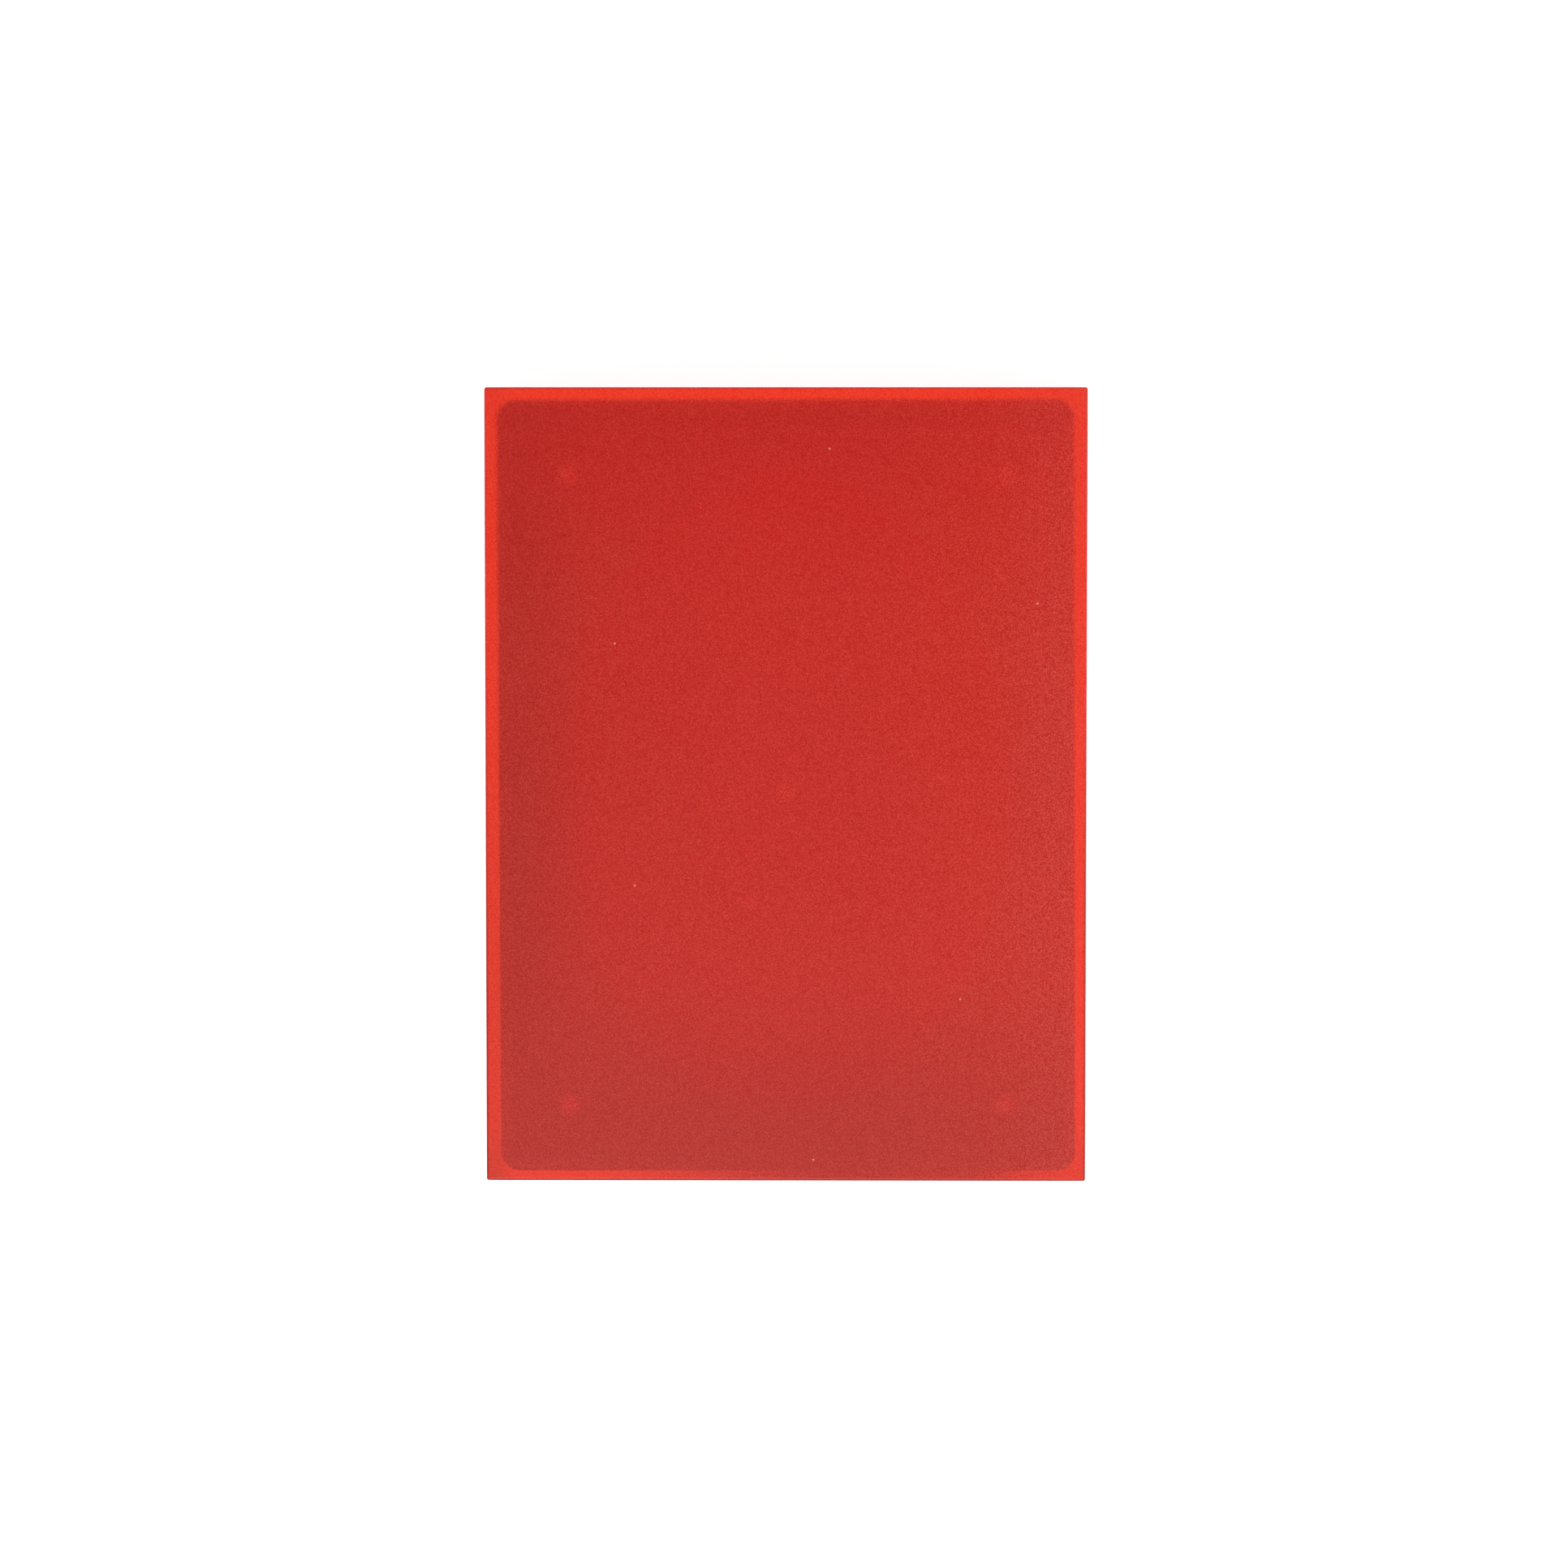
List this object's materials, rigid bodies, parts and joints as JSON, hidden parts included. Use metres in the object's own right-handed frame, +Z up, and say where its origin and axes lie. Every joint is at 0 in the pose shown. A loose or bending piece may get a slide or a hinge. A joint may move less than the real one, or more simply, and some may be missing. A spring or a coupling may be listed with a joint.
{
  "type": "ink pad",
  "caption": "Flat rectangular ink pad case with a plain lift-off lid over a tray that holds a raised, fabric-covered pad of inked foam.",
  "frame": {"origin": "on the surface that the tray stands on, below the middle of the case", "axes": "+X across the width, +Y along the length, +Z up out of the lid"},
  "size_m": [0.0762, 0.1008, 0.019],
  "materials": {
    "lid_plastic": "frosted translucent red, fine matt texture outside",
    "tray_plastic": "frosted translucent red, smoother than the lid",
    "carrier_plastic": "satin white moulding, stained by ink near the pad",
    "adhesive_film": "clear adhesive on a thin film",
    "board": "dull grey stiff board",
    "inked_foam": "open-cell foam soaked in red ink",
    "inked_fabric": "fine plain weave soaked in red ink, moist sheen",
    "label_paper": "coated paper label with a plain red colour patch"
  },
  "bodies": {
    "base": {"base_tray": "tray_plastic", "pad_carrier": "carrier_plastic", "adhesive_sheet": "adhesive_film", "backing_board": "board", "foam_core": "inked_foam", "pad_cover": "inked_fabric", "base_label": "label_paper"},
    "lid": {"lid": "lid_plastic"}
  },
  "joints": [
    {"name": "lid_lift", "type": "slide", "parent": "base", "child": "lid", "axis": [0, 0, 1], "range_m": [0, 0.06]}
  ]
}
